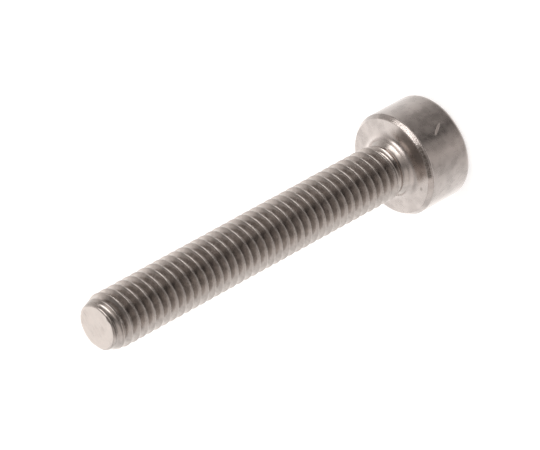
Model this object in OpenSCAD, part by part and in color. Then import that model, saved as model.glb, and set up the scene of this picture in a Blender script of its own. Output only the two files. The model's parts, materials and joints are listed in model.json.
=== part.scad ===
// Hex socket head cap screw, M3 x 20, threaded to the head.
// It stands on the end of its head: the origin is the centre of the head's outer end,
// and +Z runs along the axis, through the head and the shank, to the tip.

/* [Thread] */
// Nominal diameter of the thread
thread_d = 3; // [2.6:0.1:3.6]
// How far the rolled thread stays under its nominal diameter
thread_allowance = 0.07; // [0.02:0.01:0.12]
// Distance from one crest to the next, which is also the advance in one turn
thread_pitch = 0.5; // [0.45:0.05:0.7]
// Angle between the two flanks
flank_angle = 60; // [55:1:65]
// Width of the flat on each crest, as a share of the pitch
crest_share = 0.125; // [0.08:0.005:0.2]
// Depth from crest to root, as a share of the pitch
depth_share = 0.613; // [0.5:0.001:0.65]
// Straight edges that make up one turn of the helix
edges_per_turn = 24; // [12:2:28]

/* [Shank] */
// From the bearing face under the head to the tip
shank_length = 20; // [10:1:26]
// From the bearing face to the end of the neck, where the thread begins
neck_length = 0.6; // [0.45:0.05:2]
// How far the surface of the neck lies under the crests, about half the thread's depth
neck_inset = 0.135; // [0.05:0.005:0.25]
// How far the collar beside the head stands above the neck
collar_rise = 0.26; // [0.05:0.01:0.3]
// Length of the collar before its taper
collar_length = 0.16; // [0.05:0.01:0.5]
// Length of the taper from the collar down to the neck
collar_taper = 0.42; // [0.05:0.01:0.6]
// Radius of the fillet where the collar meets the head
neck_fillet_r = 0.1; // [0.05:0.01:0.3]
// Length over which the thread grows out of the neck to its full depth
runout_length = 0.45; // [0.3:0.05:1.5]
// Length of the tapered lead at the tip
lead_length = 0.75; // [0.4:0.05:1.5]
// Height of the ridge that is left where the lead meets the end face
tip_ridge = 0.02; // [0.01:0.01:0.15]

/* [Head] */
// Diameter of the round head
head_d = 5.42; // [4.4:0.02:7]
// Height of the head above the bearing face
head_h = 2.9; // [2.4:0.05:4.5]
// Radius of the rounded rim at the outer end of the head
top_edge_r = 0.3; // [0.1:0.05:0.5]
// Radius of the small rounded rim beside the bearing face
bearing_edge_r = 0.17; // [0.05:0.01:0.3]

/* [Socket] */
// Width across the flats of the hexagon
socket_af = 2.55; // [2:0.01:3.2]
// Depth of the flats of the hexagon
socket_depth = 1.4; // [1:0.05:1.7]
// Depth of the shallow cone below the flats
socket_cone_depth = 0.35; // [0.1:0.05:0.5]
// Width of the bevel at the mouth of the socket, beyond the corners
mouth_bevel = 0.08; // [0.02:0.01:0.2]
// Angle between the sides of the bevel
mouth_angle = 120; // [80:5:140]

/* [Hidden] */

// Facets of every true circle
$fn = 96;
// How far a cutter runs past the surface that it cuts
overrun = 0.5;
// Turns of the helix that start inside the neck
hidden_turns = 2;
// How far the crest of the faded thread lies under the surface of the neck
faded_inset = 0.05;
// Depth of the faded thread, from its crest to its root
faded_depth = 0.02;
// Least height of a flank, measured along the axis
least_flank = 0.005;
// Colour of the stainless steel
steel = [0.66, 0.62, 0.6];

thread_major_r = (thread_d - thread_allowance) / 2;
thread_depth = depth_share * thread_pitch;
thread_minor_r = thread_major_r - thread_depth;
flank_slope = tan(flank_angle / 2);
crest_half = crest_share * thread_pitch / 2;
root_half = thread_pitch / 2 - crest_half - thread_depth * flank_slope;

neck_r = thread_major_r - neck_inset;
collar_r = neck_r + collar_rise;
tip_face_r = thread_minor_r + tip_ridge;
head_r = head_d / 2;
faded_crest_r = neck_r - faded_inset;
faded_root_r = faded_crest_r - faded_depth;

// Steps along the helix: it starts inside the neck and runs past the tip
helix_start = neck_length - hidden_turns * thread_pitch - overrun / 2;
helix_end = shank_length + overrun + thread_pitch / 2;
helix_steps = ceil((helix_end - helix_start) / thread_pitch * edges_per_turn);

// Share of the full thread that has formed at a height above the bearing face
function formed(height) =
    min(1, max(0, (height - neck_length + thread_pitch / 4) / runout_length));

// Greatest radius that the lead at the tip leaves at a height above the bearing face
function lead_r(height) =
    let (tip_distance = max(0, shank_length - height))
    tip_face_r + (thread_major_r - tip_face_r) * tip_distance / lead_length;

// Radius of the crest at a height above the bearing face
function crest_r(height) =
    min(lead_r(height), faded_crest_r + (thread_major_r - faded_crest_r) * formed(height));

// Radius of the root between two crests
function root_r(height) =
    faded_root_r + (thread_minor_r - faded_root_r) * formed(height);

// Half the width of the flat on a crest, wider where the crest is cut down
function flat_half(height) =
    crest_half + (thread_major_r - crest_r(height)) * flank_slope;

// A point at a turn angle, a radius and a height
function at(angle, radius, height) =
    [radius * cos(angle), radius * sin(angle), height];

// The four corners of the ridge at one step: root, crest, crest, root
function ridge(step) =
    let (
        angle = step * 360 / edges_per_turn,
        middle = helix_start + step * thread_pitch / edges_per_turn,
        foot = thread_pitch / 2 - root_half,
        flat = min(flat_half(middle), foot - least_flank)
    )
    [
        at(angle, root_r(middle - foot), middle - foot),
        at(angle, crest_r(middle - flat), middle - flat),
        at(angle, crest_r(middle + flat), middle + flat),
        at(angle, root_r(middle + foot), middle + foot)
    ];

// Place in the list of points of one of a ridge's corners, 0 to 3
function spot(step, corner) = 4 * step + corner;

// Two triangles that close the gap between two neighbouring edges
function quad(a, b, c, d) = [[a, b, c], [a, c, d]];

// The rolled thread as one closed body, from inside the neck to past the tip
module thread() {
    last = helix_steps;
    turn = edges_per_turn;
    rings = [for (step = [0:last]) ridge(step)];
    points = [
        for (ring = rings) each ring,
        [0, 0, rings[0][0].z],
        [0, 0, rings[last][3].z]
    ];
    low_hub = len(points) - 2;
    high_hub = len(points) - 1;
    faces = [
        // Flanks and crest
        for (step = [0:last - 1])
            for (k = [0:2])
                each quad(spot(step, k), spot(step, k + 1), spot(step + 1, k + 1), spot(step + 1, k)),
        // Root between this turn and the next
        for (step = [0:last - turn - 1])
            each quad(spot(step, 3), spot(step + turn, 0), spot(step + turn + 1, 0), spot(step + 1, 3)),
        // End inside the neck
        for (step = [0:turn - 1])
            [low_hub, spot(step, 0), spot(step + 1, 0)],
        [low_hub, spot(turn, 0), spot(0, 3)],
        for (k = [0:2])
            [low_hub, spot(0, k + 1), spot(0, k)],
        // End past the tip
        for (step = [last - turn:last - 1])
            [high_hub, spot(step + 1, 3), spot(step, 3)],
        [high_hub, spot(last - turn, 3), spot(last, 0)],
        for (k = [0:2])
            [high_hub, spot(last, k), spot(last, k + 1)]
    ];
    polyhedron(points = points, faces = faces, convexity = 10);
}

// The thread, cut off flat at the tip
module threaded_shank() {
    difference() {
        thread();
        translate([0, 0, shank_length])
            cylinder(r = thread_d, h = thread_pitch + 2 * overrun);
    }
}

// Half section of the neck: the plain neck, the tapered collar and the fillet under the head
module neck_section() {
    translate([0, -overrun])
        square([neck_r, neck_length + overrun]);
    polygon([
        [0, -overrun],
        [collar_r, -overrun],
        [collar_r, collar_length],
        [neck_r, collar_length + collar_taper],
        [0, collar_length + collar_taper]
    ]);
    difference() {
        translate([0, -overrun])
            square([collar_r + neck_fillet_r, overrun + neck_fillet_r]);
        translate([collar_r + neck_fillet_r, neck_fillet_r])
            circle(r = neck_fillet_r);
    }
}

// The corner that a rounded rim takes away, with the centre of its arc at the origin
module rim_corner(radius) {
    difference() {
        square(radius);
        circle(r = radius);
    }
}

// Half section of the head, from its outer end up to the bearing face
module head_section() {
    difference() {
        square([head_r, head_h]);
        translate([head_r - top_edge_r, top_edge_r])
            mirror([0, 1])
                rim_corner(top_edge_r);
        translate([head_r - bearing_edge_r, head_h - bearing_edge_r])
            rim_corner(bearing_edge_r);
    }
}

// The hexagon socket: flats, shallow cone and bevelled mouth
module socket() {
    corner_r = socket_af / 2 / cos(30);
    translate([0, 0, -overrun])
        cylinder(r = corner_r, h = socket_depth + overrun, $fn = 6);
    translate([0, 0, socket_depth])
        cylinder(r1 = socket_af / 2, r2 = 0, h = socket_cone_depth);
    mouth_r = corner_r + mouth_bevel;
    bevel_h = mouth_r / tan(mouth_angle / 2);
    cylinder(r1 = mouth_r, r2 = 0, h = bevel_h);
}

// The whole screw, one solid
module cap_screw() {
    color(steel) {
        difference() {
            union() {
                rotate_extrude() head_section();
                translate([0, 0, head_h]) {
                    rotate_extrude() neck_section();
                    threaded_shank();
                }
            }
            socket();
        }
    }
}

cap_screw();
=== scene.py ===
"""Looks of a hex socket cap screw: a finely modelled rolled thread, a forged head and their steel.

Everything is in metres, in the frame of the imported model: the screw stands on the outer end of its
head, its axis is Z and the tip is at the top.
"""

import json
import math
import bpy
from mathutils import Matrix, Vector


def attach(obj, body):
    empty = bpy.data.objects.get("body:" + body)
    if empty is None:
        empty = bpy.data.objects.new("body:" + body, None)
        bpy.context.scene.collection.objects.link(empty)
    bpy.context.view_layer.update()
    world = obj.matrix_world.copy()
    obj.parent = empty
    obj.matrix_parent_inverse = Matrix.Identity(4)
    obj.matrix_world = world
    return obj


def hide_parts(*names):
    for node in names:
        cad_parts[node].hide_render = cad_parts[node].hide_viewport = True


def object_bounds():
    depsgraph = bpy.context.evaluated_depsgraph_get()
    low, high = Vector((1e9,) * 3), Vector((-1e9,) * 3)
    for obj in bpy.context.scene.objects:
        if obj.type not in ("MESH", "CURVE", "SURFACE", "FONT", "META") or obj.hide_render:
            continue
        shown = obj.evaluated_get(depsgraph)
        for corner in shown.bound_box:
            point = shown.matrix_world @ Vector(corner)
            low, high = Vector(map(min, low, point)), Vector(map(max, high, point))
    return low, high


bl_info = {
    "name": "Hex socket cap screw",
    "version": (1, 0, 0),
    "blender": (4, 5, 0),
    "location": "3D View > Sidebar > Cap screw",
    "description": "Builds a cap screw with a rolled thread and the studio that it is shown in",
    "category": "Object",
}

import bpy
import numpy as np
from bpy.props import FloatProperty, FloatVectorProperty, IntProperty, PointerProperty
from bpy.types import Operator, Panel, PropertyGroup
from mathutils import Matrix, Vector

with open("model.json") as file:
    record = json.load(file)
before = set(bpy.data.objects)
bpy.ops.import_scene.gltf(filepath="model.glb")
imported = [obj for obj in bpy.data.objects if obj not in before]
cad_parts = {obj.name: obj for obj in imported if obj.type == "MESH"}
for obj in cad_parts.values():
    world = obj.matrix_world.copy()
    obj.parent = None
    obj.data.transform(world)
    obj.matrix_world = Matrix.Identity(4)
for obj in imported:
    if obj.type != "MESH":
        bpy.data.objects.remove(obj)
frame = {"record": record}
CAD_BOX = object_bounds()

MM = 0.001
NODE = "cap_screw"


def mount(name):
    """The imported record's mount of that name."""
    return next(m for m in frame["record"]["mounts"] if m["name"] == name)


TIP_Z = CAD_BOX[1].z
BEARING_Z = mount("bearing_face")["pos_m"][2]
HEAD_R = mount("head_rim")["dims"]["r_mm"] * MM
THREAD_R = mount("thread")["dims"]["r_mm"] * MM

# Driving sizes that more than one group below uses, in millimetres
PITCH = 0.5
BEVEL_WIDTH = 0.19
# Turn from X of the side that faces the camera, in degrees
FACING = 178.0


# ---------------------------------------------------------------- settings


def length(name, description, default_mm, least_mm=0.0):
    """A length property, given in millimetres and kept in metres."""
    return FloatProperty(
        name=name,
        description=description,
        default=default_mm * MM,
        min=least_mm * MM,
        precision=6,
        subtype="DISTANCE",
        unit="LENGTH",
    )


def angle(name, description, degrees):
    """An angle property, given in degrees."""
    return FloatProperty(
        name=name,
        description=description,
        default=math.radians(degrees),
        subtype="ANGLE",
        unit="ROTATION",
    )


def factor(name, description, default, high=1.0):
    """A plain number from 0 to high."""
    return FloatProperty(name=name, description=description, default=default, min=0.0, max=high)


def colour(name, description, default):
    """A linear colour property."""
    return FloatVectorProperty(
        name=name,
        description=description,
        default=default,
        size=3,
        min=0.0,
        max=1.0,
        subtype="COLOR",
    )


class ThreadSizes(PropertyGroup):
    """Sizes of the shank, and of the traces that rolling and wear leave on it."""

    pitch: length("Pitch", "Distance from one crest to the next", PITCH)
    depth: length("Depth", "Height of the ridge from root to crest", 0.613 * PITCH)
    crest_flat: length("Crest flat", "Width of the flat on a crest", 0.125 * PITCH)
    flank_angle: angle("Flank angle", "Angle between the two flanks", 60)
    start: length("Start", "Height of a crest over the bearing face, at X", -0.15, -PITCH)
    neck: length("Neck", "Length of the neck under the head", 0.6)
    neck_inset: length("Neck inset", "How far the neck lies under the crests", 0.18)
    collar: length("Collar", "How far the collar beside the head stands above the neck", 0.22)
    collar_length: length("Collar length", "Length of the collar before its taper", 0.12)
    collar_taper: length("Collar taper", "Length of the taper from collar to neck", 0.46)
    fillet: length("Fillet", "Width of the fillet where the collar meets the head", 0.36)
    fillet_height: length("Fillet height", "Height of the fillet above the bearing face", 0.22)
    runout: length("Run-out", "Length over which the thread grows to its full depth", 0.45)
    lead: length("Lead", "Length of the taper at the tip", 0.75)
    tip_ridge: length("Tip ridge", "Height of the ridge where the lead meets the end face", 0.02)
    tip_edge: length("Tip edge", "Radius of the worn edge of the end face", 0.09)
    nick: length("Nick", "Width of the nick beside the end face", 0.10)
    nick_turn: angle("Nick turn", "Place of the nick, from the side that faces the camera", 2)
    nick_reach: angle("Nick reach", "How far the nick spreads to either side", 11)
    seam_depth: length("Seam depth", "Depth of the seam along the crest near the tip", 0.035)
    seam_reach: length("Seam reach", "How far the seam reaches from the tip", 1.3)
    columns: IntProperty(
        name="Columns", description="Faces round one turn", default=120, min=24, max=180
    )


class HeadSizes(PropertyGroup):
    """Sizes of the head and the socket."""

    top_edge: length("Outer rim", "Radius of the rim at the outer end", 0.3)
    bevel: length("Bevel", "Width of the worn bevel beside the bearing face", BEVEL_WIDTH)
    bevel_tilt: angle("Bevel tilt", "Lean of the bevel from the head's side to the face", 37)
    bevel_start: length("Bevel start", "Radius between the bearing face and the bevel", 0.03)
    bevel_end: length("Bevel end", "Radius between the bevel and the head's side", 0.10)
    socket_af: length("Across flats", "Width of the hexagon across its flats", 2.55)
    socket_depth: length("Socket depth", "Depth of the flats", 1.4)
    socket_cone: length("Socket cone", "Depth of the cone under the flats", 0.35)
    socket_corner: length("Socket corners", "Radius in the corners of the hexagon", 0.07)
    mouth_bevel: length("Mouth bevel", "Width of the bevel beyond the corners", 0.08)
    mouth_angle: angle("Mouth angle", "Angle between the sides of the bevel", 120)


class SteelFinish(PropertyGroup):
    """Colour and texture of the stainless steel."""

    forged: colour("Forged steel", "Colour of the head", (0.635, 0.58, 0.553))
    rolled: colour("Rolled steel", "Colour of the thread", (0.60, 0.55, 0.518))
    cut: colour("Cut steel", "Colour of the end face at the tip", (0.70, 0.635, 0.595))
    forged_roughness: factor("Forged roughness", "Roughness of the head", 0.28)
    rolled_roughness: factor("Rolled roughness", "Roughness of the thread", 0.2)
    cut_roughness: factor("Cut roughness", "Roughness of the end face", 0.38)
    # The grime colour also paints shade on the bevel and in the thread's roots, and a dark
    # reflection on the bearing face.
    grime_and_shade: colour("Grime", "Colour of the residue in corners and smudges", (0.12, 0.10, 0.085))


class StudioSettings(PropertyGroup):
    """Camera and light."""

    facing: angle("Facing", "Side of the screw that faces the camera, from X", FACING)
    elevation: angle("Elevation", "Height of the camera above the level of the screw", 35.8)
    roll: angle("Roll", "Turn of the camera about its own axis", -118.7)
    lens: FloatProperty(name="Lens", description="Focal length", default=383.0, unit="CAMERA")
    distance: length("Distance", "From the camera to the middle of the bearing face", 284.7)
    aim_right: length("Right of the aim", "How far right of the aim that middle lies", 6.01)
    aim_above: length("Above the aim", "How far above the aim that middle lies", 2.92)
    front_light: factor("Front light", "Level of the dim light in front", 0.25, 5.0)
    window_light: factor("Window light", "Level of the window", 2.2, 5.0)


# ---------------------------------------------------------------- shape of the screw

# Finishes, in the order of the piece's material slots
FORGED, ROLLED, CUT = range(3)


class Skin:
    """Vertices and faces of one closed surface, gathered from the tip to the socket."""

    def __init__(self, columns):
        self.columns = columns
        self.angles = np.arange(columns) * 2 * np.pi / columns
        self.points = []
        self.faces = []
        self.finishes = []

    def add(self, radii, heights, angles=None):
        """Adds points at these radii and heights and returns their numbers."""
        angles = self.angles if angles is None else angles
        radii = np.broadcast_to(radii, angles.shape)
        heights = np.broadcast_to(heights, angles.shape)
        first = sum(len(p) for p in self.points)
        across = radii * np.cos(angles), radii * np.sin(angles)
        self.points.append(np.stack([*across, heights], axis=-1))
        return np.arange(first, first + len(angles))

    def add_hub(self, height):
        """Adds one point on the axis and returns its number."""
        return self.add(np.zeros(1), height, np.zeros(1))[0]

    def face(self, corners, finish):
        """Adds one face and drops corners that repeat."""
        kept = [c for k, c in enumerate(corners) if c != corners[k - 1]]
        if len(set(kept)) > 2:
            self.faces.append(kept)
            self.finishes.append(finish)

    def bridge(self, upper, lower, finish):
        """Joins two rings, the first of them nearer the tip along the surface."""
        for k in range(self.columns):
            n = (k + 1) % self.columns
            self.face([int(upper[k]), int(lower[k]), int(lower[n]), int(upper[n])], finish)

    def close(self, ring, hub, finish, inward):
        """Closes a ring with triangles to one point on the axis."""
        for k in range(self.columns):
            n = (k + 1) % self.columns
            corners = [int(hub), int(ring[k]), int(ring[n])]
            self.face(corners[::-1] if inward else corners, finish)

    def rings(self, last, outline, finish):
        """Adds one ring for each radius and height of an outline, and joins them in order."""
        for radius, height in outline:
            ring = self.add(radius, height)
            self.bridge(last, ring, finish)
            last = ring
        return last


def arc(centre_r, centre_z, radius, start, end, steps):
    """Points of an arc in the half section, between two angles in degrees from the radius."""
    turns = np.radians(np.linspace(start, end, steps + 1))
    return [(centre_r + radius * math.cos(t), centre_z + radius * math.sin(t)) for t in turns]


def soft_low(a, b, blend):
    """The lower of two values, with a rounded corner where they meet."""
    share = np.clip(0.5 + (b - a) / (2 * blend), 0, 1)
    return b * (1 - share) + a * share - blend * share * (1 - share)


def soft_high(a, b, blend):
    """The higher of two values, with a rounded corner where they meet."""
    return -soft_low(-a, -b, blend)


def smooth(low, high, value):
    """Rises from 0 to 1 between two values, level at both ends."""
    share = np.clip((value - low) / (high - low), 0, 1)
    return share * share * (3 - 2 * share)


class ThreadForm:
    """The radius of the rolled shank at any angle and height above the bearing face."""

    # Roundness of the full crest, of the crest that is still growing, of the lead and of the root
    CREST_ROUND = 0.028 * MM
    PARTIAL_ROUND = 0.06 * MM
    LEAD_ROUND = 0.012 * MM
    ROOT_ROUND = 0.045 * MM
    # Half the width of the seam, as a share of the pitch, and where it reaches its full depth
    SEAM_SHARE = 0.055
    SEAM_FULL = 0.3
    # How unevenly the crest is filled, and how uneven the worn edge of the end face is
    FILLING = 0.003 * MM
    EDGE_UNEVEN = 0.12
    # Share of the nick's reach that has its full width
    NICK_FULL = 0.35

    def __init__(self, t, shank):
        self.t = t
        self.shank = shank
        self.slope = math.tan(t.flank_angle / 2)
        self.neck_r = THREAD_R - t.neck_inset
        self.minor_r = THREAD_R - t.depth
        self.tip_r = self.minor_r + t.tip_ridge
        self.waves = np.random.default_rng(7).uniform(0, 2 * np.pi, 6)

    def off_crest(self, turn, height):
        """Distance along the axis to the nearest crest."""
        t = self.t
        share = (height - t.start) / t.pitch - turn / (2 * np.pi)
        return np.abs((share + 0.5) % 1.0 - 0.5) * t.pitch

    def blank(self, height):
        """Radius before rolling: a fillet, a collar and its taper, then a plain neck."""
        t = self.t
        tapered = 1 - smooth(t.collar_length, t.collar_length + t.collar_taper, height)
        rise = np.clip(1 - height / t.fillet_height, 0, 1)
        return self.neck_r + t.collar * tapered + t.fillet * (1 - np.sqrt(1 - rise * rise))

    def fillet_points(self, steps):
        """Radius and height of points of the fillet, from the collar down to the bearing face."""
        turns = np.radians(np.linspace(0, 90, steps + 1)[1:])
        heights = [self.t.fillet_height * (1 - math.sin(turn)) for turn in turns]
        return [(float(self.blank(height)), BEARING_Z + height) for height in heights]

    def filling(self, turn, height):
        """Small differences in how far the rolled crest rose, along the helix."""
        along = 2 * np.pi * height / self.t.pitch * 0.31 + turn
        far = 2 * np.pi * height / self.t.pitch * 0.083
        w = self.waves
        wave = np.sin(along + w[0]) + 0.7 * np.sin(2.3 * along + w[1]) + 0.8 * np.sin(far + w[2])
        return self.FILLING * wave

    def edge_width(self, turn):
        """Width of the worn edge of the end face, uneven round the tip and wider at a nick."""
        t = self.t
        w = self.waves
        wave = np.sin(3 * turn + w[3]) + 0.7 * np.sin(7 * turn + w[4])
        wave = wave + 0.5 * np.sin(13 * turn + w[5])
        beside = turn - math.radians(FACING) - t.nick_turn
        beside = np.abs((beside + np.pi) % (2 * np.pi) - np.pi)
        nick = 1 - smooth(self.NICK_FULL * t.nick_reach, t.nick_reach, beside)
        return t.tip_edge * (1 + self.EDGE_UNEVEN * wave) + t.nick * nick

    def radius(self, turn, height):
        """Radius of the surface."""
        t = self.t
        off = self.off_crest(turn, height)
        formed = np.clip((height - t.neck + t.pitch / 4) / t.runout, 0, 1)
        faded = self.blank(height)
        crest = faded + (THREAD_R - faded) * formed + self.filling(turn, height) * formed
        root = faded + (self.minor_r - faded) * formed
        to_tip = np.maximum(0, self.shank - height)
        lead = self.tip_r + (THREAD_R - self.tip_r) * to_tip / t.lead
        seam = smooth(t.seam_reach, self.SEAM_FULL * t.seam_reach, to_tip)
        seam = seam * (1 - smooth(0, self.SEAM_SHARE, off / t.pitch))
        flank = THREAD_R - (off - t.crest_flat / 2) / self.slope
        ridge = soft_low(flank, crest, self.CREST_ROUND + self.PARTIAL_ROUND * (1 - formed))
        ridge = soft_low(ridge, lead, self.LEAD_ROUND) - t.seam_depth * seam
        surface = soft_high(ridge, root, self.ROOT_ROUND)
        return np.where(formed > 0, surface, faded)


# Places of the helix rows between two crests, as shares of the pitch. They lie close together at
# the crest and are mirrored about the root
ROW_SHARES = [0, 0.03, 0.055, 0.08, 0.11, 0.20, 0.31, 0.41]
ROWS = sorted(ROW_SHARES + [0.5] + [1 - s for s in ROW_SHARES[1:]])


def add_thread(skin, form, top, low, high):
    """Adds the threaded surface between two heights, and returns its lowest ring.

    Its rows follow the helix. top is the ring that closes it at its high end. Rows that leave the
    stretch are held at its ends, where their points fall together with the end rings.
    """
    t = form.t
    columns = skin.columns
    turns = range(int((low - t.start) / t.pitch) - 2, int((high - t.start) / t.pitch) + 2)
    starts = np.array([t.start + t.pitch * (turn + share) for turn in turns for share in ROWS])
    heights = starts[:, None] + t.pitch * skin.angles[None] / (2 * np.pi)
    inside = (heights > low) & (heights < high)
    bottom = skin.add(form.radius(skin.angles, np.full(columns, low)), BEARING_Z + low)
    numbers = np.where(heights >= high, top[None], bottom[None])
    spots = np.argwhere(inside)
    turn = skin.angles[spots[:, 1]]
    height = heights[inside]
    numbers[inside] = skin.add(form.radius(turn, height), BEARING_Z + height, turn)
    per_turn = len(ROWS)
    for row in range(len(starts) - 1, 0, -1):
        for k in range(columns):
            if k + 1 < columns:
                right = (numbers[row, k + 1], numbers[row - 1, k + 1])
            elif row + per_turn < len(starts):
                right = (numbers[row + per_turn, 0], numbers[row + per_turn - 1, 0])
            else:
                continue
            corners = [numbers[row, k], numbers[row - 1, k], right[1], right[0]]
            skin.face([int(c) for c in corners], ROLLED)
    return bottom


def hexagon(angles, apothem, corner):
    """Radius of a hexagon with rounded corners at these angles; one corner lies on X."""
    half = math.pi / 6
    from_corner = np.abs((angles + half) % (2 * half) - half)
    flat = apothem / np.cos(half - from_corner)
    centre = (apothem - corner) / math.cos(half)
    reach = math.atan2(corner * math.sin(half), centre + corner * math.cos(half))
    inside = np.sqrt(np.maximum(0, corner**2 - (centre * np.sin(from_corner)) ** 2))
    return np.where(from_corner < reach, centre * np.cos(from_corner) + inside, flat)


def add_tip(skin, form):
    """Adds the flat end face and its worn edge.

    Returns the ring where the thread begins, and its height above the bearing face.
    """
    t = form.t
    high = form.shank - t.tip_edge
    rim = form.radius(skin.angles, np.full(skin.columns, high))
    edge = form.edge_width(skin.angles)
    hub = skin.add_hub(TIP_Z)
    first, *others = (0.12, 0.3, 0.5, 0.68, 0.82, 0.92, 1.0)
    ring = skin.add((rim - edge) * first, TIP_Z)
    skin.close(ring, hub, CUT, inward=False)
    ring = skin.rings(ring, [((rim - edge) * share, TIP_Z) for share in others], CUT)
    lifts = [math.radians(bend) for bend in (25, 50, 72)]
    worn = [
        (rim - edge * (1 - math.sin(lift)), TIP_Z - t.tip_edge * (1 - math.cos(lift)))
        for lift in lifts
    ]
    return skin.rings(ring, [*worn, (rim, BEARING_Z + high)], ROLLED), high


def bevel_points(h):
    """Points of the worn bevel, from the bearing face to the head's side: arc, straight, arc."""
    tilt = math.degrees(h.bevel_tilt)
    flat_r, low_z = HEAD_R - h.bevel, BEARING_Z - h.bevel_start
    start = arc(flat_r, low_z, h.bevel_start, start=90, end=tilt, steps=3)
    bent = h.bevel_start * math.cos(h.bevel_tilt) + h.bevel_end * (1 - math.cos(h.bevel_tilt))
    drop = (h.bevel - bent) / math.tan(h.bevel_tilt)
    centre_z = start[-1][1] - drop - h.bevel_end * math.sin(h.bevel_tilt)
    end = arc(HEAD_R - h.bevel_end, centre_z, h.bevel_end, start=tilt, end=0, steps=4)
    (start_r, start_z), (end_r, end_z) = start[-1], end[0]
    straight = [
        (start_r + (end_r - start_r) * share, start_z + (end_z - start_z) * share)
        for share in (1 / 3, 2 / 3)
    ]
    return start + straight + end


def between(start, end, shares):
    """Values at these shares of the way from one value to another."""
    return [start + (end - start) * share for share in shares]


def add_head(skin, form, ring, h):
    """Adds the fillet and the head, down to the rim of the socket's mouth."""
    fillet = form.fillet_points(steps=12)
    face = between(fillet[-1][0], HEAD_R - h.bevel, (0.12, 0.4, 0.7, 0.93, 1.0))
    bevel = bevel_points(h)
    side = between(h.top_edge, bevel[-1][1], (0.96, 0.75, 0.5, 0.25, 0.04, 0.0))
    end_r = HEAD_R - h.top_edge
    mouth_r = h.socket_af / 2 / math.cos(math.pi / 6) + h.mouth_bevel
    for outline in (
        fillet,
        [(radius, BEARING_Z) for radius in face],
        bevel,
        [(HEAD_R, height) for height in side],
        arc(end_r, h.top_edge, h.top_edge, start=-9, end=-90, steps=9),
        [(radius, 0.0) for radius in between(end_r, mouth_r, (0.08, 0.4, 0.75, 0.95))],
    ):
        ring = skin.rings(ring, outline, FORGED)
    return ring, mouth_r


def add_socket(skin, ring, mouth_r, h):
    """Adds the bevelled mouth, the flats and the cone of the hexagon socket."""
    softened = 0.02 * MM
    slope = math.tan(h.mouth_angle / 2)
    wall = hexagon(skin.angles, h.socket_af / 2, h.socket_corner)
    bevel_end = (mouth_r - wall) / slope
    mouth = [
        (mouth_r + softened, 0.0),
        (mouth_r - softened, softened / slope),
        (wall + softened, bevel_end - softened / slope),
        (wall, bevel_end + softened),
    ]
    flats = [(wall, h.socket_depth * 0.4), (wall, h.socket_depth * 0.8)]
    flats.append((wall, h.socket_depth - softened))
    cone = [
        (wall * share, h.socket_depth + h.socket_cone * (1 - share))
        for share in (0.98, 0.75, 0.5, 0.25, 0.08)
    ]
    ring = skin.rings(ring, mouth + flats + cone, FORGED)
    hub = skin.add_hub(h.socket_depth + h.socket_cone * 0.94)
    skin.close(ring, hub, FORGED, inward=True)


def screw_mesh(t, h):
    """The whole surface of the screw as one closed mesh."""
    sharp_angle = math.radians(38)
    skin = Skin(t.columns)
    form = ThreadForm(t, TIP_Z - BEARING_Z)
    top, high = add_tip(skin, form)
    ring = add_thread(skin, form, top, t.fillet_height, high)
    ring, mouth_r = add_head(skin, form, ring, h)
    add_socket(skin, ring, mouth_r, h)
    mesh = bpy.data.meshes.new(NODE)
    mesh.from_pydata(np.concatenate(skin.points).tolist(), [], skin.faces)
    mesh.polygons.foreach_set("material_index", skin.finishes)
    mesh.polygons.foreach_set("use_smooth", [True] * len(skin.faces))
    if mesh.validate():
        raise RuntimeError("the screw's surface has faces that repeat or have no area")
    mesh.set_sharp_from_angle(angle=sharp_angle)
    return mesh


# ---------------------------------------------------------------- finishes

# Sizes of the finishes are in millimetres on the screw and their heights in thousandths of one.
# A place on the screw is given by its turn in degrees from the side that faces the camera, by
# its distance from the axis and by its height above the bearing face.

HEAD_MM = HEAD_R / MM
CREST_MM = THREAD_R / MM
BEARING_MM = BEARING_Z / MM

# The worn bevel: where it begins, how deep it reaches, and the middles of its pitted side and
# of its two stretches of painted shade
BEVEL_FROM = HEAD_MM - BEVEL_WIDTH
BEVEL_DEPTH = 0.24
PITTED_TURN = 10.0
BEVEL_SHADE_TURN = -14.0
SECOND_BEVEL_SHADE_TURN = 58.0
PIT_HEIGHT = 17.0
# The scar on the head's side: turn and height of its ends, and its width
SCAR_ENDS = ((16.0, -1.95), (6.0, -1.225))
SCAR_WIDTH = 0.15
SCAR_HEIGHT = 12.0
# The smudge on the bearing face: turn and distance from the axis of its ends, and its width
SMUDGE_ENDS = ((-58.0, 2.10), (-50.0, 2.12))
SMUDGE_WIDTH = 0.22
# Where the painted dark reflection of the shank on the bearing face, beside the fillet, fades in
REFLECTION_FROM, REFLECTION_FULL = 1.85, 2.1
# Range that most of an even noise lies in
MIDDLE = (0.3, 0.7)


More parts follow.
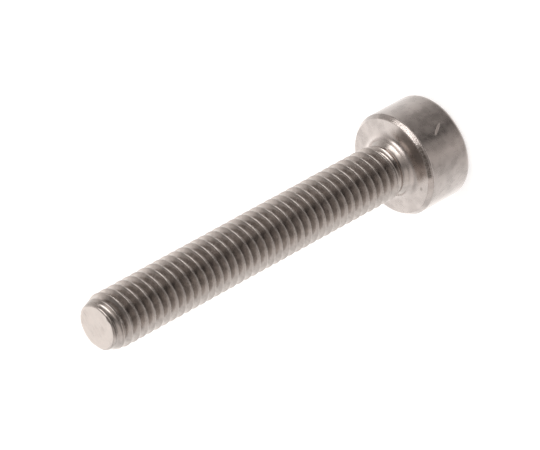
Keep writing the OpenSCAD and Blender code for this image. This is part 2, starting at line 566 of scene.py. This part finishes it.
class Nodes:
    """A node tree with short calls that add and join nodes."""

    def __init__(self, tree):
        self.tree = tree
        tree.nodes.clear()

    def add(self, kind, **settings):
        """A new node. Settings name its properties, or its inputs where they start with in_."""
        node = self.tree.nodes.new(kind)
        for key, value in settings.items():
            if key.startswith("in_"):
                name = key[3:].replace("_", " ")
                spot = int(name) if name.isdigit() else name
                if isinstance(value, bpy.types.NodeSocket):
                    self.tree.links.new(value, node.inputs[spot])
                else:
                    node.inputs[spot].default_value = value
            else:
                setattr(node, key, value)
        return node

    def math(self, operation, a, b=0.0, clamp=False):
        """The result of one calculation."""
        node = self.add("ShaderNodeMath", operation=operation, in_0=a, in_1=b, use_clamp=clamp)
        return node.outputs[0]

    def product(self, first, *others):
        """The product of several values."""
        for other in others:
            first = self.math("MULTIPLY", first, other)
        return first

    def total(self, *parts, clamp=False):
        """The sum of values, each given with its weight."""
        result = 0.0
        for value, weight in parts:
            node = self.add(
                "ShaderNodeMath", operation="MULTIPLY_ADD", in_0=value, in_1=weight, in_2=result
            )
            result = node.outputs[0]
        node.use_clamp = clamp
        return result

    def span(self, value, low, high, start=0.0, end=1.0):
        """value moved smoothly from one range to another, and held at its ends."""
        node = self.add("ShaderNodeMapRange", interpolation_type="SMOOTHSTEP", in_Value=value)
        names = ("From Min", "From Max", "To Min", "To Max")
        for name, number in zip(names, (low, high, start, end)):
            node.inputs[name].default_value = number
        return node.outputs[0]

    def vector(self, operation, a, b):
        """The result of one calculation with vectors that gives a vector."""
        return self.add("ShaderNodeVectorMath", operation=operation, in_0=a, in_1=b).outputs[0]

    def along(self, vector, direction):
        """How far a vector points along a direction."""
        node = self.add(
            "ShaderNodeVectorMath", operation="DOT_PRODUCT", in_0=vector, in_1=direction
        )
        return node.outputs["Value"]

    def mix(self, share, first, second):
        """A colour between two others."""
        node = self.add("ShaderNodeMix", data_type="RGBA", in_0=share, in_6=first, in_7=second)
        return node.outputs[2]

    def noise(self, place, scale, detail, roughness=0.5):
        """Even noise, from 0 to 1."""
        return self.add(
            "ShaderNodeTexNoise",
            in_Vector=place,
            in_Scale=scale,
            in_Detail=detail,
            in_Roughness=roughness,
        ).outputs["Fac"]


def place_in_mm(n, stretch=(1.0, 1.0, 1.0)):
    """Place on the screw in millimetres, stretched along its axes."""
    place = n.add("ShaderNodeTexCoord").outputs["Object"]
    return n.vector("MULTIPLY", place, tuple(s / MM for s in stretch))


def distance_from_axis(n, place):
    """Distance of a place from the screw's axis."""
    parts = n.add("ShaderNodeSeparateXYZ", in_0=place).outputs
    flat = n.add("ShaderNodeCombineXYZ", in_0=parts[0], in_1=parts[1]).outputs[0]
    return n.add("ShaderNodeVectorMath", operation="LENGTH", in_0=flat).outputs["Value"]


def sideways(turn):
    """The level direction towards one side of the screw."""
    around = math.radians(FACING + turn)
    return Vector((math.cos(around), math.sin(around), 0.0))


def on_screw(turn, radius, height):
    """A place on the screw."""
    return sideways(turn) * radius + Vector((0.0, 0.0, BEARING_MM + height))


def streak(n, place, ends, width, edge):
    """1 on a long mark between two places and 0 outside it.

    edge is how far out, as the square of a share, the mark keeps its full value.
    """
    start, end = ends
    run = end - start
    offset = n.vector("SUBTRACT", place, (start + end) / 2)
    ahead = n.along(offset, run.normalized())
    ahead = n.math("MULTIPLY", ahead, ahead)
    aside = n.math("SUBTRACT", n.along(offset, offset), ahead)
    ahead = n.math("DIVIDE", ahead, (run.length / 2) ** 2)
    aside = n.math("DIVIDE", aside, (width / 2) ** 2)
    return n.span(n.math("ADD", ahead, aside), 1.0, edge)


def scratches(n, place, scale, turn, width):
    """Thin marks in one direction: 1 on a mark and 0 elsewhere."""
    stretched = (scale, scale * 0.06, scale)
    turned = n.add("ShaderNodeMapping", in_Vector=place, in_Rotation=turn, in_Scale=stretched)
    lines = n.noise(turned.outputs[0], scale=1.0, detail=1.0, roughness=0.4)
    ridge = n.math("ABSOLUTE", n.math("SUBTRACT", lines, 0.5))
    patches = n.span(n.noise(place, scale=1.1, detail=1.0), 0.5, 0.62)
    return n.product(n.span(ridge, width, 0.0), patches)


def steel(name, base, roughness, marks, grime_and_shade):
    """A stainless steel material.

    marks adds the nodes of its marks. It returns the share of the paler tone, the change of the
    roughness, the height and the share of the grime colour, which paints grime and painted shade.
    """
    dark_tone, pale_tone = 0.80, 1.06
    grime_and_shade_roughness = 0.3
    material = bpy.data.materials.new(name)
    material.use_nodes = True
    n = Nodes(material.node_tree)
    tint, change, height, dirt_and_shade = marks(n)
    darker = [c * dark_tone for c in base] + [1.0]
    paler = [min(1.0, c * pale_tone) for c in base] + [1.0]
    clean = n.mix(tint, darker, paler)
    seen = n.mix(dirt_and_shade, clean, [*grime_and_shade, 1.0])
    rough = n.total((change, 1.0), (dirt_and_shade, grime_and_shade_roughness), (1.0, roughness), clamp=True)
    bump = n.add(
        "ShaderNodeBump", in_Strength=1.0, in_Distance=0.001 * MM, in_Height=height
    ).outputs[0]
    shader = n.add(
        "ShaderNodeBsdfPrincipled",
        in_Base_Color=seen,
        in_Metallic=1.0,
        in_Roughness=rough,
        in_Normal=bump,
    )
    n.add("ShaderNodeOutputMaterial", in_Surface=shader.outputs[0])
    return material


def bevel_marks(n, place, radius, depth):
    """Pits and painted shade of the worn bevel: height of the pits, pitted share, share of painted
    shade, and share of a painted dark reflection on the bearing face.
    """

    def towards(turn):
        """1 on one side of the screw, falling to -1 on the other side."""
        return n.math("DIVIDE", n.along(place, sideways(turn)), radius)

    pits = n.noise(place, scale=13.0, detail=3.0, roughness=0.65)
    bevel = n.product(
        n.span(radius, BEVEL_FROM, BEVEL_FROM + 0.04),
        n.span(depth, BEVEL_DEPTH + 0.05, BEVEL_DEPTH),
    )
    pitted = n.product(bevel, n.span(towards(PITTED_TURN), 0.5, 0.8, 0.2, 1.0))
    # Painted shade: the bevel is darkened on two stretches, one on each side of its bright streak,
    # mottled by the pits.
    first = n.product(
        n.span(towards(BEVEL_SHADE_TURN), 0.925, 0.96),
        n.span(radius, BEVEL_FROM + 0.18, BEVEL_FROM + 0.12),
    )
    second = n.span(towards(SECOND_BEVEL_SHADE_TURN), 0.97, 0.99, 0.0, 0.5)
    bevel_shade = n.product(bevel, n.math("MAXIMUM", first, second))
    bevel_shade = n.product(bevel_shade, n.span(pits, 0.35, 0.6, 0.45, 0.9))
    # Painted reflection: the bearing face beside the fillet is darkened on the side towards the
    # camera, where it mirrors the dark shank.
    beside = n.product(
        n.span(towards(PITTED_TURN), 0.86, 0.97),
        n.span(radius, REFLECTION_FROM, REFLECTION_FULL),
        n.span(radius, BEVEL_FROM, BEVEL_FROM - 0.1),
        n.span(depth, 0.02, 0.0),
    )
    return pits, pitted, bevel_shade, beside


def forged_marks(n):
    """Cold-forged head: waves from the die, scuffs, a mottled sheen, a worn bevel with painted
    shade, a smudge, a painted dark reflection on the bearing face and a scar.
    """
    place = place_in_mm(n)
    radius = distance_from_axis(n, place)
    depth = n.math("SUBTRACT", BEARING_MM, n.along(place, (0.0, 0.0, 1.0)))
    mottle = n.noise(place, scale=2.2, detail=4.0, roughness=0.6)
    cloud = n.noise(place, scale=1.1, detail=2.0)
    grain = n.noise(place, scale=26.0, detail=3.0, roughness=0.6)
    waves = n.noise(place, scale=1.2, detail=2.0)
    scuffs = n.math(
        "MAXIMUM",
        scratches(n, place, scale=9.0, turn=(0.4, 0.9, 0.3), width=0.012),
        scratches(n, place, scale=12.0, turn=(1.3, 0.2, 1.1), width=0.010),
    )
    pits, pitted, bevel_shade, beside = bevel_marks(n, place, radius, depth)
    smudge_ends = [on_screw(turn, distance, 0.0) for turn, distance in SMUDGE_ENDS]
    smudge = streak(n, place, smudge_ends, SMUDGE_WIDTH, edge=0.0)
    scar_ends = [on_screw(turn, HEAD_MM, height) for turn, height in SCAR_ENDS]
    scar = streak(n, place, scar_ends, SCAR_WIDTH, edge=0.5)
    # Share of the grime colour: painted shade on the bevel, a smudge, and a painted dark reflection
    # of the shank beside the fillet.
    dirt_and_shade = n.math("MAXIMUM", bevel_shade, n.product(smudge, 0.35))
    dirt_and_shade = n.math("MAXIMUM", dirt_and_shade, n.product(beside, n.span(mottle, *MIDDLE, 0.35, 0.65)))
    tint = n.total(
        (n.span(mottle, *MIDDLE, 0.0, 0.55), 1.0),
        (n.span(cloud, 0.35, 0.65, 0.0, 0.55), 1.0),
        (scuffs, 0.2),
        (scar, 0.5),
        clamp=True,
    )
    change = n.total(
        (n.span(mottle, *MIDDLE, -0.04, 0.05), 1.0), (scuffs, 0.08), (scar, 0.5), (pitted, -0.1)
    )
    height = n.total(
        (grain, 0.25),
        (waves, 6.0),
        (scuffs, -0.5),
        (n.product(pits, pitted), PIT_HEIGHT),
        (scar, SCAR_HEIGHT),
    )
    return tint, change, height, dirt_and_shade


def rolled_marks(n):
    """Rolled thread: fine lines along the helix, painted shade in the roots and rubbed crests."""
    place = place_in_mm(n)
    radius = distance_from_axis(n, place)
    mottle = n.noise(place, scale=3.0, detail=4.0, roughness=0.6)
    lines = n.noise(place_in_mm(n, (1.0, 1.0, 9.0)), scale=5.0, detail=3.0, roughness=0.6)
    grain = n.noise(place, scale=30.0, detail=3.0, roughness=0.6)
    patches = n.span(n.noise(place, scale=1.7, detail=3.0, roughness=0.6), 0.38, 0.62)
    burrs = n.noise(place, scale=17.0, detail=2.0, roughness=0.6)
    root = n.span(radius, CREST_MM - 0.12, CREST_MM - 0.30)
    crest = n.span(radius, CREST_MM - 0.06, CREST_MM - 0.01)
    # Painted shade: the thread's roots are darkened, in patches.
    dirt_and_shade = n.product(root, patches, 0.2)
    tint = n.span(mottle, *MIDDLE, 0.2, 0.9)
    change = n.span(mottle, *MIDDLE, -0.04, 0.06)
    height = n.total((lines, 0.5), (grain, 0.15), (n.product(burrs, crest), 7.0))
    return tint, change, height, dirt_and_shade


def cut_marks(n):
    """Sheared end face: a fine grain and scratches across it."""
    place = place_in_mm(n)
    mottle = n.noise(place, scale=2.4, detail=4.0, roughness=0.6)
    grain = n.noise(place, scale=22.0, detail=4.0, roughness=0.65)
    marks = n.math(
        "MAXIMUM",
        scratches(n, place, scale=7.0, turn=(0.0, 0.0, 0.5), width=0.02),
        scratches(n, place, scale=10.0, turn=(0.0, 0.0, 2.1), width=0.015),
    )
    tint = n.total((n.span(mottle, *MIDDLE, 0.55, 1.0), 1.0), (marks, -0.35), clamp=True)
    change = n.span(mottle, *MIDDLE, -0.05, 0.05)
    height = n.total((grain, 3.0), (marks, -2.0))
    return tint, change, height, n.product(marks, 0.15)


# ---------------------------------------------------------------- operators


class OBJECT_OT_build_cap_screw(Operator):
    """Build the screw: one piece with a rolled thread, a forged head and a hexagon socket"""

    bl_idname = "object.build_cap_screw"
    bl_label = "Build cap screw"

    def execute(self, context):
        scene = context.scene
        finish = scene.screw_finish
        screw = bpy.data.objects.new("screw", screw_mesh(scene.screw_thread, scene.screw_head))
        scene.collection.objects.link(screw)
        for name, base, roughness, marks in (
            ("forged_steel", finish.forged, finish.forged_roughness, forged_marks),
            ("rolled_steel", finish.rolled, finish.rolled_roughness, rolled_marks),
            ("cut_steel", finish.cut, finish.cut_roughness, cut_marks),
        ):
            screw.data.materials.append(steel(name, base, roughness, marks, finish.grime_and_shade))
        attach(screw, "root")
        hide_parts(NODE)
        return {"FINISHED"}


def camera_axes(s):
    """The camera's right, up and back directions in the screw's frame."""
    level = Vector((math.cos(s.facing), math.sin(s.facing), 0.0))
    axis = Vector((0.0, 0.0, 1.0))
    back = math.cos(s.elevation) * level + math.sin(s.elevation) * axis
    right = axis.cross(back).normalized()
    up = back.cross(right)
    turned_right = math.cos(s.roll) * right + math.sin(s.roll) * up
    turned_up = back.cross(turned_right)
    return turned_right, turned_up, back


def add_camera(s):
    """Places the camera so that the bearing face's centre falls beside the middle of the view."""
    right, up, back = camera_axes(s)
    data = bpy.data.cameras.new("camera")
    data.lens = s.lens
    data.sensor_width = 36.0
    data.clip_start = 0.01
    data.clip_end = 10.0
    camera = bpy.data.objects.new("camera", data)
    aim = Vector((0.0, 0.0, BEARING_Z)) - s.aim_right * right - s.aim_above * up
    turned = Matrix((right, up, back)).transposed().to_4x4()
    camera.matrix_world = Matrix.Translation(aim + s.distance * back) @ turned
    bpy.context.scene.collection.objects.link(camera)
    bpy.context.scene.camera = camera


# The floor: half its width in metres, the tone of its paper and its glow towards the camera
FLOOR_HALF = 0.5
FLOOR_TONE = 0.8
FLOOR_GLOW = 0.62
WHITE = (1.0, 1.0, 1.0, 1.0)


def add_floor():
    """A pale floor that keeps the shadow and isn't mirrored in the steel."""
    corners = [(-1, -1), (1, -1), (1, 1), (-1, 1)]
    mesh = bpy.data.meshes.new("floor")
    mesh.from_pydata([(x * FLOOR_HALF, y * FLOOR_HALF, 0) for x, y in corners], [], [(0, 1, 2, 3)])
    floor = bpy.data.objects.new("floor", mesh)
    bpy.context.scene.collection.objects.link(floor)
    floor.visible_glossy = False
    material = bpy.data.materials.new("floor")
    material.use_nodes = True
    n = Nodes(material.node_tree)
    seen = n.add("ShaderNodeLightPath").outputs["Is Camera Ray"]
    paper = n.add("ShaderNodeBsdfDiffuse", in_Color=(FLOOR_TONE, FLOOR_TONE, FLOOR_TONE, 1.0))
    glow = n.add("ShaderNodeEmission", in_Color=WHITE, in_Strength=n.product(seen, FLOOR_GLOW))
    both = n.add("ShaderNodeAddShader", in_0=paper.outputs[0], in_1=glow.outputs[0])
    n.add("ShaderNodeOutputMaterial", in_Surface=both.outputs[0])
    mesh.materials.append(material)


def seen_direction(right, up):
    """A direction as the camera's right, up and back parts.

    It is given in degrees: the turn from the camera to the right, and the height.
    """
    right, up = math.radians(right), math.radians(up)
    return Vector((math.sin(right) * math.cos(up), math.sin(up), math.cos(right) * math.cos(up)))


def in_frame(axes, direction):
    """A direction given by the camera's right, up and back parts, in the screw's frame."""
    return sum((a * d for a, d in zip(axes, direction)), Vector()).normalized()


class Soft:
    """A round, soft light or dark patch of the surroundings.

    It has a direction, an outer radius where it begins, an inner radius where it is full, all in
    degrees, and a level, which is negative where it darkens.
    """

    def __init__(self, right, up, outer, inner, level):
        self.middle = seen_direction(right, up)
        self.edges = math.cos(math.radians(outer)), math.cos(math.radians(inner))
        self.level = level

    def glow(self, n, look, axes):
        """Its share of the light in the direction of look."""
        share = n.along(look, in_frame(axes, self.middle))
        return n.span(share, *self.edges, 0.0, self.level)


# The pale room behind the screw, the cosines between which the light turns from warm in front to
# plain behind, and the patches: direction, outer radius, inner radius and level
BEHIND = Soft(180, -15, 115, 55, 0.67)
PLAIN_SPAN = (-0.42, 0.61)
PATCHES = (
    Soft(-140, 60, 65, 0, -0.9),  # dark ceiling, behind on the left
    Soft(5, -60, 45, 0, 0.45),  # light from the table below
    Soft(-155, 15, 85, 10, 0.8),  # pale wall, behind on the left
    Soft(-45, -10, 40, 25, -0.1),  # dimmer front on the left
    Soft(45, 40, 50, 15, -0.6),  # dark corner, in front on the right
    Soft(-15, 60, 80, 5, 0.75),  # wide lamp overhead
    Soft(72, 16, 22, 14, 0.46),  # small lamp on the right
)
LEAST_LEVEL = 0.02
WARM = (1.0, 0.93, 0.89, 1.0)
PLAIN = (1.0, 0.985, 0.97, 1.0)

# The window: direction of its middle and turn of its long side in degrees, half its length and
# half its width as sines, and how far its soft edge lies outside and inside them
WINDOW_RIGHT, WINDOW_UP, WINDOW_TURN = -35.0, 27.0, -36.0
WINDOW_LONG, WINDOW_WIDE = 0.36, 0.18
WINDOW_OUTSIDE, WINDOW_INSIDE = 0.09, 0.07


def window_glow(n, look, axes, level):
    """The light of a long window with soft edges."""
    middle = seen_direction(WINDOW_RIGHT, WINDOW_UP)
    flat = seen_direction(WINDOW_RIGHT + 90, 0)
    turn = math.radians(WINDOW_TURN)
    long = math.cos(turn) * flat + math.sin(turn) * middle.cross(flat)
    shares = []
    for side, half in ((long, WINDOW_LONG), (middle.cross(long), WINDOW_WIDE)):
        off = n.math("ABSOLUTE", n.along(look, in_frame(axes, side)))
        shares.append(n.span(off, half + WINDOW_OUTSIDE, half - WINDOW_INSIDE))
    facing = n.math("GREATER_THAN", n.along(look, in_frame(axes, middle)), 0.0)
    return n.product(*shares, facing, level)


def add_surroundings(s):
    """Soft light from all round: pale behind, dim in front, with some patches and a window."""
    axes = camera_axes(s)
    world = bpy.data.worlds.new("studio")
    world.use_nodes = True
    bpy.context.scene.world = world
    n = Nodes(world.node_tree)
    look = n.add("ShaderNodeTexCoord").outputs["Generated"]
    level = n.math("ADD", BEHIND.glow(n, look, axes), s.front_light)
    for patch in PATCHES:
        level = n.math("ADD", level, patch.glow(n, look, axes))
    window = window_glow(n, look, axes, s.window_light)
    level = n.math("ADD", n.math("MAXIMUM", level, LEAST_LEVEL), window)
    plain = n.span(n.along(look, in_frame(axes, BEHIND.middle)), *PLAIN_SPAN)
    tone = n.mix(n.math("MAXIMUM", plain, window, clamp=True), WARM, PLAIN)
    light = n.add("ShaderNodeBackground", in_Color=tone, in_Strength=level)
    white = n.add("ShaderNodeBackground", in_Color=WHITE, in_Strength=1.0)
    seen = n.add("ShaderNodeLightPath").outputs["Is Camera Ray"]
    both = n.add("ShaderNodeMixShader", in_0=seen, in_1=light.outputs[0], in_2=white.outputs[0])
    n.add("ShaderNodeOutputWorld", in_Surface=both.outputs[0])


class SCENE_OT_build_screw_studio(Operator):
    """Build the floor, the light and the camera"""

    bl_idname = "scene.build_screw_studio"
    bl_label = "Build studio"

    def execute(self, context):
        settings = context.scene.screw_studio
        add_floor()
        add_surroundings(settings)
        add_camera(settings)
        context.scene.view_settings.view_transform = "Standard"
        return {"FINISHED"}


class VIEW3D_PT_cap_screw(Panel):
    """Lists the screw's operators and settings"""

    bl_label = "Cap screw"
    bl_space_type = "VIEW_3D"
    bl_region_type = "UI"
    bl_category = "Cap screw"

    def draw(self, context):
        layout = self.layout
        for operator in OPERATORS:
            layout.operator(operator.bl_idname)
        for name in SETTINGS:
            group = getattr(context.scene, name)
            box = layout.box()
            for key in group.bl_rna.properties.keys():
                if key not in ("name", "rna_type"):
                    box.prop(group, key)


SETTINGS = {
    "screw_thread": ThreadSizes,
    "screw_head": HeadSizes,
    "screw_finish": SteelFinish,
    "screw_studio": StudioSettings,
}
OPERATORS = (OBJECT_OT_build_cap_screw, SCENE_OT_build_screw_studio)
CLASSES = (*SETTINGS.values(), *OPERATORS, VIEW3D_PT_cap_screw)


def register():
    """Registers the classes and gives the scene its settings."""
    for cls in CLASSES:
        bpy.utils.register_class(cls)
    for name, group in SETTINGS.items():
        setattr(bpy.types.Scene, name, PointerProperty(type=group))


def unregister():
    """Takes the settings and the classes away again."""
    for name in SETTINGS:
        delattr(bpy.types.Scene, name)
    for cls in reversed(CLASSES):
        bpy.utils.unregister_class(cls)


def main():
    """Builds the screw and the studio."""
    register()
    bpy.ops.object.build_cap_screw()
    bpy.ops.scene.build_screw_studio()


if __name__ == "__main__":
    main()
